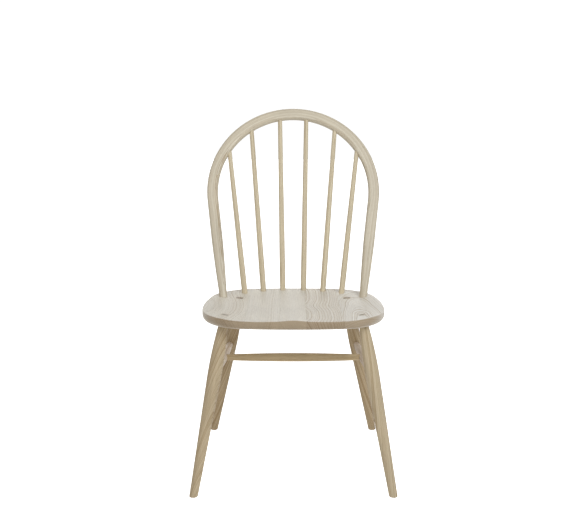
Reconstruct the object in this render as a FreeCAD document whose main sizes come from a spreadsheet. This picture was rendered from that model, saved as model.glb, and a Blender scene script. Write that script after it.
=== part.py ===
import FreeCAD, Part
import math
import os
import Sketcher
from FreeCAD import Placement, Rotation, Vector

# A hoop-back windsor dining chair in bare ash: a saddled seat glued up from boards,
# four splayed legs wedged through it, stretchers in an H, a bent hoop and six spindles.
# The front faces -Y, +Z is up, and the origin is on the floor under the middle of the chair.

# Driving sizes

# Each line is a name, its value in mm or degrees, and what it measures.
SIZES = [
    ("seat_forward", 49.0, "seat's middle in front of the origin"),
    ("seat_height", 437.3, "seat's rim above the floor, at the seat's middle"),
    ("seat_slope", 1.5, "degrees that the seat falls towards the back"),
    ("seat_thickness", 30.0, "thickness of the seat blank"),
    ("front_edge_y", 180.5, "front corners in front of the seat's middle"),
    ("front_corner_x", 210.0, "front corners from the middle line"),
    ("rear_edge_y", 198.0, "rear corners behind the seat's middle"),
    ("rear_corner_x", 195.0, "rear corners from the middle line"),
    ("front_edge_bow", 960.0, "radius of the front edge"),
    ("side_edge_bow", 655.0, "radius of the two side edges"),
    ("rear_edge_bow", 700.0, "radius of the rear edge"),
    ("front_corner_round", 124.0, "radius of the front corners seen from above"),
    ("rear_corner_round", 141.0, "radius of the rear corners seen from above"),
    ("bevel_height", 5.0, "height of the bevel under the edge"),
    ("bevel_width", 32.0, "width of the bevel under the edge"),
    ("bevel_upper_round", 18.0, "rounding between the seat's edge and the bevel"),
    ("bevel_lower_round", 18.0, "rounding between the bevel and the seat's bottom"),
    ("rim_round", 2.5, "rounding of the upper edge"),
    ("hollow_radius", 1010.0, "radius of the two thigh hollows"),
    ("hollow_spread", 91.0, "hollows from the middle line"),
    ("hollow_front_depth", 5.2, "depth of the hollows at the front edge"),
    ("dish_depth", 9.0, "depth of the dish at its lowest"),
    ("dish_back", 45.0, "lowest place of the dish behind the seat's middle"),
    ("dish_rear_reach", 133.0, "how far the dish runs behind its lowest place"),
    ("ridge_radius", 3000.0, "radius of the dish across the middle line"),
    ("saddle_blend", 2.0, "height over which the hollows run into each other"),
    ("glue_line_1", -118.0, "first glue line between boards"),
    ("glue_line_2", -36.0, "second glue line"),
    ("glue_line_3", 31.0, "third glue line"),
    ("glue_line_4", 121.0, "fourth glue line"),
    ("front_leg_x", 167.3, "front leg's middle in the seat, from the middle line"),
    ("front_leg_y", 122.0, "front leg's middle in front of the seat's middle"),
    ("rear_leg_x", 144.0, "rear leg's middle in the seat, from the middle line"),
    ("rear_leg_y", 101.0, "rear leg's middle behind the seat's middle"),
    ("front_foot_splay", 77.1, "front foot further out than the leg's top"),
    ("front_foot_rake", 82.9, "front foot further forward than the leg's top"),
    ("rear_foot_splay", 89.4, "rear foot further out than the leg's top"),
    ("rear_foot_rake", 148.0, "rear foot further back than the leg's top"),
    ("foot_diameter", 20.0, "leg at the floor"),
    ("leg_belly_diameter", 35.0, "leg at its thickest"),
    ("leg_belly_drop", 143.0, "thickest place below the seat's rim, along the leg"),
    ("leg_neck_diameter", 23.4, "leg where it enters the seat"),
    ("leg_neck_drop", 34.0, "neck below the seat's rim, along the leg"),
    ("leg_tenon_diameter", 19.5, "tenon at the seat's rim"),
    ("sole_chamfer", 1.2, "broken edge round the sole"),
    ("stretcher_height", 291.0, "stretchers above the floor"),
    ("side_stretcher_diameter", 22.5, "side stretcher at its middle"),
    ("side_stretcher_end", 15.0, "side stretcher at its ends"),
    ("cross_stretcher_diameter", 22.8, "cross stretcher at its middle"),
    ("cross_stretcher_end", 16.0, "cross stretcher at its ends"),
    ("cross_stretcher_y", 5.0, "cross stretcher behind the seat's middle"),
    ("tenon_past_axis", 3.0, "stretcher tenons past the axis of what they enter"),
    ("hoop_foot_x", 190.0, "hoop's feet from the middle line"),
    ("hoop_foot_y", 108.0, "hoop's feet behind the seat's middle"),
    ("hoop_lean", 21.6, "degrees that the hoop leans back"),
    ("hoop_radius", 224.0, "middle line of the hoop's crown"),
    ("hoop_centre", 295.0, "centre of the crown above the seat, along the lean"),
    ("hoop_width", 30.0, "hoop's face"),
    ("hoop_depth", 24.0, "hoop from front to back"),
    ("hoop_round", 8.0, "rounding of the hoop's edges"),
    ("hoop_taper_top", 150.0, "where the hoop starts to narrow, above its foot"),
    ("hoop_taper_middle", 78.0, "middle of the narrowing, above its foot"),
    ("hoop_waist_width", 26.2, "face at the middle of the narrowing"),
    ("hoop_waist_depth", 22.6, "depth at the middle of the narrowing"),
    ("hoop_taper_foot", 18.0, "where the hoop is nearly round, above its foot"),
    ("hoop_foot_diameter", 21.5, "hoop where it is nearly round"),
    ("hoop_foot_round", 9.7, "rounding of the hoop's edges there and of its tenon"),
    ("hoop_tenon_reach", 55.0, "how far the tenons run down before they are sawn off"),
    ("hoop_wedge_start", 34.0, "where the hoop's wedges are driven in, below the rim"),
    ("spindle_row_radius", 253.0, "arc on which spindles and hoop stand"),
    ("inner_spindle_foot", 29.0, "inner spindle's foot from the middle line"),
    ("middle_spindle_foot", 83.0, "middle spindle's foot from the middle line"),
    ("outer_spindle_foot", 134.0, "outer spindle's foot from the middle line"),
    ("inner_spindle_top", 37.0, "inner spindle's top from the middle line"),
    ("middle_spindle_top", 117.0, "middle spindle's top from the middle line"),
    ("outer_spindle_top", 178.0, "outer spindle's top from the middle line"),
    ("spindle_top_diameter", 12.0, "spindle at the hoop"),
    ("spindle_belly_diameter", 15.9, "spindle at its thickest"),
    ("spindle_belly_rise", 56.0, "thickest place above the seat"),
    ("spindle_foot_diameter", 15.2, "spindle at the seat"),
    ("spindle_tenon_diameter", 14.6, "spindle at the bottom of its hole"),
    ("spindle_seat_depth", 18.0, "depth of a spindle's hole in the seat"),
    ("spindle_hoop_depth", 14.0, "depth of a spindle's hole in the hoop"),
    ("wedge_thickness", 3.6, "wedge at its thick end"),
    ("wedge_tip", 1.0, "wedge at its thin end"),
    ("wedge_length", 26.0, "how far a wedge is driven in"),
    ("front_wedge_turn", 46.0, "front legs' wedges, in degrees from straight across the seat"),
    ("rear_wedge_turn", 34.0, "rear legs' wedges, in degrees from straight across the seat"),
]

# Room that a cutting shape has beyond the piece it cuts.
ROOM = 20.0

# Half the number of rows of points across and along the sitting surface.
SADDLE_STEPS = 8

doc = FreeCAD.newDocument("windsor_chair")
sheet = doc.addObject("Spreadsheet::Sheet", "Sizes")


def write_row(row, name, value, note):
    """One named number of the sheet."""
    sheet.set("A%d" % row, name)
    sheet.set("B%d" % row, "%.6f" % value)
    sheet.set("C%d" % row, note)
    sheet.setAlias("B%d" % row, name)


def size(name):
    return float(sheet.get(name))


for row, (name, value, note) in enumerate(SIZES, start=1):
    write_row(row, name, value, note)
doc.recompute()


# Places worked out from the sizes

seat_place = Placement(
    Vector(0, -size("seat_forward"), size("seat_height")),
    Rotation(Vector(1, 0, 0), -size("seat_slope")),
)


def on_rim(x, y):
    """A point of the seat's rim plane, x and y measured in the plane from the seat's middle."""
    return seat_place.multVec(Vector(x, y, 0))


def along(start, end):
    """Placement at start whose Z axis points to end and whose X axis stays near the chair's."""
    return Placement(start, Rotation(Vector(0, 0, 1), end - start))


def at_height(start, end, height):
    """The point at a height above the floor on the line from start to end."""
    share = (height - start.z) / (end.z - start.z)
    return start + (end - start) * share


LEGS = {
    "front_left": (-1, -1, "front"),
    "front_right": (1, -1, "front"),
    "rear_left": (-1, 1, "rear"),
    "rear_right": (1, 1, "rear"),
}


def leg_line(corner):
    """The foot on the floor and the top in the seat's rim of one leg."""
    side, back, pair = LEGS[corner]
    top = on_rim(side * size(pair + "_leg_x"), back * size(pair + "_leg_y"))
    foot = Vector(top.x + side * size(pair + "_foot_splay"), top.y + back * size(pair + "_foot_rake"), 0)
    return foot, top


def side_stretcher_line(side):
    """The points on a front and a rear leg's axis that a side stretcher joins."""
    height = size("stretcher_height")
    return at_height(*leg_line("front_" + side), height), at_height(*leg_line("rear_" + side), height)


def beside_middle(side):
    """The point of a side stretcher's axis level with the cross stretcher."""
    start, end = side_stretcher_line(side)
    y = size("cross_stretcher_y") - size("seat_forward")
    return start + (end - start) * ((y - start.y) / (end.y - start.y))


SPINDLES = [
    ("spindle_1", -1, "outer"),
    ("spindle_2", -1, "middle"),
    ("spindle_3", -1, "inner"),
    ("spindle_4", 1, "inner"),
    ("spindle_5", 1, "middle"),
    ("spindle_6", 1, "outer"),
]

hoop_foot = on_rim(0, size("hoop_foot_y"))
hoop_place = Placement(hoop_foot, Rotation(Vector(1, 0, 0), 90 - size("hoop_lean")))

# The flank runs straight from the foot and meets the crown's circle as a tangent.
foot_to_centre = math.hypot(size("hoop_foot_x"), size("hoop_centre"))
flank_length = math.sqrt(foot_to_centre ** 2 - size("hoop_radius") ** 2)
flank_angle = math.degrees(
    math.asin(size("hoop_radius") / foot_to_centre)
    - math.atan2(size("hoop_foot_x"), size("hoop_centre"))
)


def spindle_line(side, kind):
    """The top on the inside of the hoop and the foot in the seat's rim of one spindle."""
    inner_radius = size("hoop_radius") - size("hoop_width") / 2
    top_x = size(kind + "_spindle_top")
    rise = size("hoop_centre") + math.sqrt(inner_radius ** 2 - top_x ** 2)
    top = hoop_place.multVec(Vector(side * top_x, rise, 0))
    foot_x = size(kind + "_spindle_foot")
    row_centre = size("hoop_foot_y") - math.sqrt(size("spindle_row_radius") ** 2 - size("hoop_foot_x") ** 2)
    foot_y = row_centre + math.sqrt(size("spindle_row_radius") ** 2 - foot_x ** 2)
    return top, on_rim(side * foot_x, foot_y)


# Lengths that follow from those places are written to the sheet before any piece reads it.
LINES = [("leg_" + corner, *leg_line(corner)) for corner in LEGS]
LINES += [(name, *spindle_line(side, kind)) for name, side, kind in SPINDLES]
LINES += [("side_stretcher_" + side, *side_stretcher_line(side)) for side in ("left", "right")]
LINES.append(("cross_stretcher", beside_middle("left"), beside_middle("right")))
worked_out = [(name + "_length", (end - start).Length, "length of its axis") for name, start, end in LINES]
worked_out.append(("flank_length", flank_length, "hoop's flank from its foot to the crown"))
worked_out.append(("flank_angle", flank_angle, "degrees that a flank leans outwards"))
for row, (name, value, note) in enumerate(worked_out, start=len(SIZES) + 2):
    write_row(row, name, value, note)
doc.recompute()


# Helpers for the document's objects

def new_body(name, place):
    body = doc.addObject("PartDesign::Body", name)
    body.Placement = place
    return body


def plane(body, role):
    """One of the body's own origin planes or axes."""
    return [feature for feature in body.Origin.OriginFeatures if feature.Role == role][0]


def new_sketch(body, name, role, offset=Placement()):
    sketch = body.newObject("Sketcher::SketchObject", name)
    sketch.AttachmentSupport = [(plane(body, role), "")]
    sketch.MapMode = "FlatFace"
    sketch.AttachmentOffset = offset
    return sketch


def value_of(expression):
    return float(sheet.evalExpression(expression))


def bind(sketch, kind, *spec):
    """Adds a dimension whose last item is an expression of the sheet's names."""
    *geometry, expression = spec
    index = sketch.addConstraint(Sketcher.Constraint(kind, *geometry, value_of(expression)))
    sketch.setExpression("Constraints[%d]" % index, expression)


def cut(name, base, tool):
    result = doc.addObject("Part::Cut", name)
    result.Base = base
    result.Tool = tool
    return result


def common(name, base, tool):
    result = doc.addObject("Part::Common", name)
    result.Base = base
    result.Tool = tool
    return result


def together(name, shapes):
    result = doc.addObject("Part::MultiFuse", name)
    result.Shapes = shapes
    return result


def box(name, corner, length, width, height, place):
    result = doc.addObject("Part::Box", name)
    result.Length = length
    result.Width = width
    result.Height = height
    result.Placement = place.multiply(Placement(corner, Rotation()))
    return result


# Seat

def arc_over(start, end, radius):
    """An arc from start to end with the given radius, bulging to the right of the way."""
    chord = end - start
    half = chord.Length / 2
    sagitta = radius - math.sqrt(radius ** 2 - half ** 2)
    right = Vector(chord.y, -chord.x, 0).normalize()
    return Part.Arc(start, start + chord / 2 + right * sagitta, end)


def draw_seat_outline(sketch):
    """Four shallow arcs, one to an edge, that meet at the corners."""
    front_left = Vector(-size("front_corner_x"), -size("front_edge_y"), 0)
    front_right = Vector(size("front_corner_x"), -size("front_edge_y"), 0)
    rear_right = Vector(size("rear_corner_x"), size("rear_edge_y"), 0)
    rear_left = Vector(-size("rear_corner_x"), size("rear_edge_y"), 0)
    front = sketch.addGeometry(arc_over(front_left, front_right, size("front_edge_bow")))
    right = sketch.addGeometry(arc_over(front_right, rear_right, size("side_edge_bow")))
    rear = sketch.addGeometry(arc_over(rear_right, rear_left, size("rear_edge_bow")))
    left = sketch.addGeometry(arc_over(rear_left, front_left, size("side_edge_bow")))
    edges = [front, right, rear, left]
    for edge, following in zip(edges, edges[1:] + edges[:1]):
        sketch.addConstraint(Sketcher.Constraint("Coincident", edge, 2, following, 1))
    sketch.addConstraint(Sketcher.Constraint("Symmetric", front, 1, front, 2, -2))
    sketch.addConstraint(Sketcher.Constraint("Symmetric", rear, 1, rear, 2, -2))
    bind(sketch, "DistanceX", -1, 1, front, 2, "Sizes.front_corner_x")
    bind(sketch, "DistanceY", front, 2, -1, 1, "Sizes.front_edge_y")
    bind(sketch, "DistanceX", -1, 1, rear, 1, "Sizes.rear_corner_x")
    bind(sketch, "DistanceY", -1, 1, rear, 1, "Sizes.rear_edge_y")
    bind(sketch, "Radius", front, "Sizes.front_edge_bow")
    bind(sketch, "Radius", right, "Sizes.side_edge_bow")
    bind(sketch, "Radius", rear, "Sizes.rear_edge_bow")
    bind(sketch, "Radius", left, "Sizes.side_edge_bow")


def edge_names(shape, wanted):
    """Names of the edges of a shape that pass a test."""
    return ["Edge%d" % number for number, edge in enumerate(shape.Edges, start=1) if wanted(edge)]


def stands_upright(edge):
    ends = edge.Vertexes[-1].Point - edge.Vertexes[0].Point
    return abs(ends.z) > 0.99 * edge.Length


def sharp_corner(front):
    """A test for the seat's two upright corners at its front, or the two at its rear."""
    def wanted(edge):
        corner_y = -size("front_edge_y") if front else size("rear_edge_y")
        return stands_upright(edge) and abs(edge.Vertexes[0].Y - corner_y) < 1
    return wanted


def lies_at(height):
    """A test for edges that lie flat at a height of the shape's own frame."""
    def wanted(edge):
        box_of_edge = edge.BoundBox
        return abs(box_of_edge.ZMin - height) < 0.01 and abs(box_of_edge.ZMax - height) < 0.01
    return wanted


def make_seat_blank():
    """The glued-up blank with its bevelled underside, still thick and flat on top."""
    body = new_body("seat_blank", seat_place)
    outline = new_sketch(body, "seat_outline", "XY_Plane")
    draw_seat_outline(outline)
    pad = body.newObject("PartDesign::Pad", "seat_pad")
    pad.Profile = outline
    pad.SideType = "Two sides"
    pad.setExpression("Length", "Sizes.dish_depth")
    pad.setExpression("Length2", "Sizes.seat_thickness")
    doc.recompute()
    rounded = pad
    for pair, front in (("front", True), ("rear", False)):
        corners = body.newObject("PartDesign::Fillet", pair + "_corners")
        corners.Base = (rounded, edge_names(rounded.Shape, sharp_corner(front)))
        corners.setExpression("Radius", "Sizes.%s_corner_round" % pair)
        doc.recompute()
        rounded = corners
    bevel = body.newObject("PartDesign::Chamfer", "seat_bevel")
    lower_edges = edge_names(rounded.Shape, lies_at(-size("seat_thickness")))
    bevel.Base = (rounded, lower_edges[:1])
    bevel.ChamferType = "Two distances"
    bevel.setExpression("Size", "Sizes.bevel_height")
    bevel.setExpression("Size2", "Sizes.bevel_width")
    doc.recompute()
    edge_round = body.newObject("PartDesign::Fillet", "edge_round")
    edge_round.Base = (bevel, edge_names(bevel.Shape, lies_at(size("bevel_height") - size("seat_thickness"))))
    edge_round.setExpression("Radius", "Sizes.bevel_upper_round")
    doc.recompute()
    bottom_round = body.newObject("PartDesign::Fillet", "bottom_round")
    bottom_round.Base = (edge_round, edge_names(edge_round.Shape, lies_at(-size("seat_thickness"))))
    bottom_round.setExpression("Radius", "Sizes.bevel_lower_round")
    doc.recompute()
    return body


def blend(first, second, width):
    """The lower of two heights, with the corner between them rounded off."""
    overlap = max(width - abs(first - second), 0)
    return min(first, second) - overlap ** 2 / (4 * width)


def saddle_height(x, y):
    """Height of the sitting surface over the rim plane: two thigh hollows and a dish."""
    front = front_edge_under(size("hollow_spread"))
    reach = (size("dish_back") - y) / (size("dish_back") - front)
    if reach > 0:
        hollow_depth = size("dish_depth") - (size("dish_depth") - size("hollow_front_depth")) * reach ** 2
        ridge_depth = size("dish_depth") * (1 - reach ** 2)
    else:
        behind = (y - size("dish_back")) / size("dish_rear_reach")
        hollow_depth = ridge_depth = size("dish_depth") * (1 - behind ** 2)
    hollow = (abs(x) - size("hollow_spread")) ** 2 / (2 * size("hollow_radius")) - hollow_depth
    ridge = x ** 2 / (2 * size("ridge_radius")) - ridge_depth
    return blend(blend(hollow, ridge, size("saddle_blend")), 0, size("saddle_blend"))


def front_edge_under(x):
    """The y of the front edge at a distance from the middle line."""
    bow = size("front_edge_bow")
    corner = math.sqrt(bow ** 2 - size("front_corner_x") ** 2)
    return corner - size("front_edge_y") - math.sqrt(bow ** 2 - x ** 2)


def make_saddle():
    """All that the hollowing takes away: the space above the sitting surface."""
    reach_x = size("front_corner_x") + 2 * ROOM
    reach_y = size("rear_edge_y") + 2 * ROOM
    rows = []
    for step_y in range(-SADDLE_STEPS, SADDLE_STEPS + 1):
        y = reach_y * step_y / SADDLE_STEPS
        xs = [reach_x * step_x / SADDLE_STEPS for step_x in range(-SADDLE_STEPS, SADDLE_STEPS + 1)]
        rows.append([Vector(x, y, saddle_height(x, y)) for x in xs])
    surface = Part.BSplineSurface()
    surface.interpolate(rows)
    saddle = doc.addObject("Part::Feature", "saddle_space")
    saddle.Shape = surface.toShape().extrude(Vector(0, 0, 2 * ROOM))
    saddle.Placement = seat_place
    return saddle


def make_seat(saddle):
    """The whole seat: hollowed, with its upper edge rounded over."""
    hollowed = cut("seat_hollowed", make_seat_blank(), saddle)
    doc.recompute()
    upper_edges = []
    for number, edge in enumerate(hollowed.Shape.Edges, start=1):
        level = edge.copy()
        level.transformShape(seat_place.inverse().toMatrix())
        if level.BoundBox.ZMin > -size("seat_thickness") / 2 and not stands_upright(level):
            upper_edges.append(number)
    rounded = doc.addObject("Part::Fillet", "seat")
    rounded.Base = hollowed
    rounded.Edges = [(number, size("rim_round"), size("rim_round")) for number in upper_edges]
    return rounded


def make_board(number, left, right, seat, pins):
    """One board of the seat, from glue line to glue line, bored for all that stands in it."""
    reach_y = size("rear_edge_y") + 2 * ROOM
    height = size("seat_thickness") + 2 * ROOM
    corner = Vector(left, -reach_y, -size("seat_thickness") - ROOM)
    slab = box("board_%d_slab" % number, corner, right - left, 2 * reach_y, height, seat_place)
    blank = common("board_%d_blank" % number, seat, slab)
    return cut("seat_board_%d" % number, blank, pins)


# Turned pieces

def draw_closed(sketch, pieces, smooth=()):
    """Adds lines and arcs that follow each other round an outline, smooth after those listed."""
    indices = [sketch.addGeometry(piece) for piece in pieces]
    for piece, following in zip(indices, indices[1:] + indices[:1]):
        joint = "Tangent" if piece in smooth else "Coincident"
        sketch.addConstraint(Sketcher.Constraint(joint, piece, 2, following, 1))
    return indices


def lines_through(*corners):
    return [Part.LineSegment(a, b) for a, b in zip(corners, corners[1:])]


def spin(body, sketch):
    """Turns a half profile round its own y axis."""
    turned = body.newObject("PartDesign::Revolution", body.Name + "_turned")
    turned.Profile = sketch
    turned.ReferenceAxis = (sketch, ["V_Axis"])
    turned.Angle = 360


def make_tapered_rod(name, place, thin, belly, neck, tenon, start, belly_at, neck_at, end):
    """A turned rod that swells from its thin end to a belly and narrows again into a tenon.

    The first four are diameters and the last four places along the rod, all as expressions.
    """
    body = new_body(name, place)
    sketch = new_sketch(body, name + "_profile", "XZ_Plane")
    radius = "((%s - %s) ^ 2 + (%s - %s) ^ 2 / 4) / (%s - %s)" % (neck_at, belly_at, belly, neck, belly, neck)
    bend = value_of(radius)
    centre = Vector(value_of(belly) / 2 - bend, value_of(belly_at), 0)
    tip = Vector(value_of(thin) / 2, value_of(start), 0)
    angle = math.atan2(tip.y - centre.y, tip.x - centre.x) + math.acos(bend / (tip - centre).Length)
    touch = centre + Vector(math.cos(angle), math.sin(angle), 0) * bend
    shoulder = Vector(value_of(neck) / 2, value_of(neck_at), 0)
    far = Vector(value_of(tenon) / 2, value_of(end), 0)
    pieces = lines_through(Vector(0, tip.y, 0), tip, touch)
    pieces.append(Part.Arc(touch, centre + Vector(bend, 0, 0), shoulder))
    pieces += lines_through(shoulder, far, Vector(0, far.y, 0), Vector(0, tip.y, 0))
    base, taper, swell, cone, cap, axis = draw_closed(sketch, pieces, smooth=(1,))
    sketch.addConstraint(Sketcher.Constraint("Horizontal", base))
    sketch.addConstraint(Sketcher.Constraint("Horizontal", cap))
    sketch.addConstraint(Sketcher.Constraint("Vertical", axis))
    sketch.addConstraint(Sketcher.Constraint("PointOnObject", axis, 1, -2))
    bind(sketch, "DistanceX", -1, 1, taper, 1, "%s / 2" % thin)
    bind(sketch, "DistanceY", -1, 1, taper, 1, start)
    bind(sketch, "Radius", swell, radius)
    bind(sketch, "DistanceX", swell, 3, -1, 1, "%s - %s / 2" % (radius, belly))
    bind(sketch, "DistanceY", -1, 1, swell, 3, belly_at)
    bind(sketch, "DistanceY", -1, 1, cone, 1, neck_at)
    bind(sketch, "DistanceX", -1, 1, cone, 2, "%s / 2" % tenon)
    bind(sketch, "DistanceY", -1, 1, cone, 2, end)
    spin(body, sketch)
    return body


def make_stretcher(label, name, line, middle, end, into):
    """A turned rail between two axes, thickest at its middle, with a straight tenon at each end.

    Its sockets are half as deep as what it enters is thick, and tenon_past_axis more.
    """
    first_axis, second_axis = line
    past = (second_axis - first_axis).normalize() * size("tenon_past_axis")
    length = "(Sizes.%s_length + 2 * Sizes.tenon_past_axis)" % name
    socket = "(Sizes.tenon_past_axis + %s / 2)" % into
    body = new_body(label, along(first_axis - past, second_axis + past))
    sketch = new_sketch(body, name + "_profile", "XZ_Plane")
    tip = Vector(value_of(end) / 2, 0, 0)
    near = Vector(tip.x, value_of(socket), 0)
    waist = Vector(value_of(middle) / 2, value_of(length) / 2, 0)
    far = Vector(tip.x, value_of(length) - near.y, 0)
    top = Vector(tip.x, value_of(length), 0)
    pieces = lines_through(Vector(0, 0, 0), tip, near)
    pieces.append(Part.Arc(near, waist, far))
    pieces += lines_through(far, top, Vector(0, top.y, 0), Vector(0, 0, 0))
    base, first, swell, last, cap, axis = draw_closed(sketch, pieces)
    sketch.addConstraint(Sketcher.Constraint("Coincident", base, 1, -1, 1))
    for level in (base, cap):
        sketch.addConstraint(Sketcher.Constraint("Horizontal", level))
    for upright in (first, last, axis):
        sketch.addConstraint(Sketcher.Constraint("Vertical", upright))
    rise = "(%s - %s) / 2" % (middle, end)
    half = "(%s - 2 * %s) / 2" % (length, socket)
    bind(sketch, "DistanceX", -1, 1, first, 1, "%s / 2" % end)
    bind(sketch, "DistanceY", -1, 1, first, 2, socket)
    bind(sketch, "DistanceY", -1, 1, last, 1, "%s - %s" % (length, socket))
    bind(sketch, "DistanceY", -1, 1, last, 2, length)
    bind(sketch, "Radius", swell, "((%s) ^ 2 + (%s) ^ 2) / (2 * %s)" % (half, rise, rise))
    spin(body, sketch)
    return body


# Hoop

def draw_rounded_rectangle(sketch, width, depth, rounding, middle="0"):
    """A rectangle with rounded corners whose middle lies on the sketch's x axis."""
    half_width = value_of(width) / 2 - value_of(rounding)
    half_depth = value_of(depth) / 2 - value_of(rounding)
    arcs = []
    for quarter, (side, up) in enumerate([(1, 1), (-1, 1), (-1, -1), (1, -1)]):
        centre = Vector(value_of(middle) + side * half_width, up * half_depth, 0)
        circle = Part.Circle(centre, Vector(0, 0, 1), value_of(rounding))
        arcs.append(Part.ArcOfCircle(circle, quarter * math.pi / 2, (quarter + 1) * math.pi / 2))
    outline = []
    for arc, following in zip(arcs, arcs[1:] + arcs[:1]):
        outline += [arc, Part.LineSegment(arc.EndPoint, following.StartPoint)]
    pieces = draw_closed(sketch, outline, smooth=range(len(outline)))
    for arc in pieces[0::2]:
        bind(sketch, "Radius", arc, rounding)
    top, left, bottom, right = pieces[1::2]
    for line in (top, bottom):
        sketch.addConstraint(Sketcher.Constraint("Horizontal", line))
    for line in (left, right):
        sketch.addConstraint(Sketcher.Constraint("Vertical", line))
    bind(sketch, "DistanceX", left, 1, right, 1, width)
    bind(sketch, "DistanceY", bottom, 1, top, 1, depth)
    bind(sketch, "DistanceX", -1, 1, right, 1, "%s + %s / 2" % (middle, width))
    bind(sketch, "DistanceY", -1, 1, top, 1, "%s / 2" % depth)


def foot_section(body, name, height, width, depth, rounding):
    """A section of the right flank, square to it, at a distance up from its foot."""
    up = value_of(height)
    angle = math.radians(flank_angle)
    x = size("hoop_foot_x") + up * math.sin(angle)
    y = up * math.cos(angle)
    offset = Placement(Vector(x, 0, -y), Rotation(Vector(0, 1, 0), -flank_angle))
    sketch = new_sketch(body, name, "XZ_Plane", offset)
    draw_rounded_rectangle(sketch, width, depth, rounding)
    return sketch


def make_hoop_form():
    """The bent hoop: a crown of one radius, straight flanks that taper, and round feet."""
    body = new_body("hoop_form", hoop_place)
    crown_profile = new_sketch(body, "crown_profile", "YZ_Plane")
    crest = "(Sizes.hoop_centre + Sizes.hoop_radius)"
    draw_rounded_rectangle(crown_profile, "Sizes.hoop_width", "Sizes.hoop_depth", "Sizes.hoop_round", crest)
    centre = size("hoop_centre")
    pivot = crown_profile.addGeometry(Part.LineSegment(Vector(centre, 0, 0), Vector(centre, ROOM, 0)), True)
    crown_profile.addConstraint(Sketcher.Constraint("Vertical", pivot))
    crown_profile.addConstraint(Sketcher.Constraint("PointOnObject", pivot, 1, -1))
    bind(crown_profile, "DistanceX", -1, 1, pivot, 1, "Sizes.hoop_centre")
    bind(crown_profile, "DistanceY", pivot, 1, pivot, 2, "%f" % ROOM)
    crown = body.newObject("PartDesign::Revolution", "crown")
    crown.Profile = crown_profile
    crown.ReferenceAxis = (crown_profile, ["Axis0"])
    crown.Midplane = True
    crown.setExpression("Angle", "180 + 2 * Sizes.flank_angle")
    doc.recompute()
    full = ("Sizes.hoop_width", "Sizes.hoop_depth", "Sizes.hoop_round")
    upper = foot_section(body, "flank_top", "Sizes.hoop_taper_top", *full)
    straight = body.newObject("PartDesign::Pad", "flank")
    straight.Profile = upper
    straight.setExpression("Length", "Sizes.flank_length - Sizes.hoop_taper_top")
    straight.Reversed = True
    waist = foot_section(
        body, "waist", "Sizes.hoop_taper_middle",
        "Sizes.hoop_waist_width", "Sizes.hoop_waist_depth", "Sizes.hoop_round",
    )
    ankle = foot_section(
        body, "ankle", "Sizes.hoop_taper_foot",
        "Sizes.hoop_foot_diameter", "Sizes.hoop_foot_diameter", "Sizes.hoop_foot_round",
    )
    doc.recompute()
    taper = body.newObject("PartDesign::AdditiveLoft", "taper")
    taper.Profile = foot_section(body, "taper_start", "Sizes.hoop_taper_top", *full)
    taper.Sections = [(waist, ""), (ankle, "")]
    doc.recompute()
    tenon = body.newObject("PartDesign::Pad", "tenon")
    tenon.Profile = foot_section(
        body, "tenon_start", "Sizes.hoop_taper_foot",
        "Sizes.hoop_foot_diameter", "Sizes.hoop_foot_diameter", "Sizes.hoop_foot_round",
    )
    tenon.setExpression("Length", "Sizes.hoop_taper_foot + Sizes.hoop_tenon_reach")
    doc.recompute()
    mirror = body.newObject("PartDesign::Mirrored", "other_flank")
    mirror.Originals = [straight, taper, tenon]
    mirror.MirrorPlane = (plane(body, "YZ_Plane"), [""])
    body.Tip = mirror
    doc.recompute()
    return body


# Wedges

def make_wedge_form(name, place, width):
    """A tapered wedge driven along the place's Z axis, as wide as the tenon that it spreads."""
    wedge = doc.addObject("Part::Wedge", name)
    wedge.setExpression("Xmin", "-%s" % width)
    wedge.setExpression("Xmax", width)
    wedge.setExpression("X2min", "-%s" % width)
    wedge.setExpression("X2max", width)
    wedge.setExpression("Zmin", "-Sizes.wedge_thickness / 2")
    wedge.setExpression("Zmax", "Sizes.wedge_thickness / 2")
    wedge.setExpression("Z2min", "-Sizes.wedge_tip / 2")
    wedge.setExpression("Z2max", "Sizes.wedge_tip / 2")
    wedge.Ymin = 0
    wedge.setExpression("Ymax", "Sizes.wedge_length")
    wedge.Placement = place.multiply(Placement(Vector(), Rotation(Vector(1, 0, 0), 90)))
    return wedge


# The chair, put together

def make_leg_form(corner):
    """A leg as it comes off the lathe, too long at both ends."""
    foot, top = leg_line(corner)
    length = "Sizes.leg_%s_length" % corner
    return make_tapered_rod(
        corner + "_turning",
        along(foot, top),
        thin="Sizes.foot_diameter",
        belly="Sizes.leg_belly_diameter",
        neck="Sizes.leg_neck_diameter",
        tenon="Sizes.leg_tenon_diameter",
        start="-%f" % ROOM,
        belly_at="(%s - Sizes.leg_belly_drop)" % length,
        neck_at="(%s - Sizes.leg_neck_drop)" % length,
        end="(%s + %f)" % (length, ROOM),
    )


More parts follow.
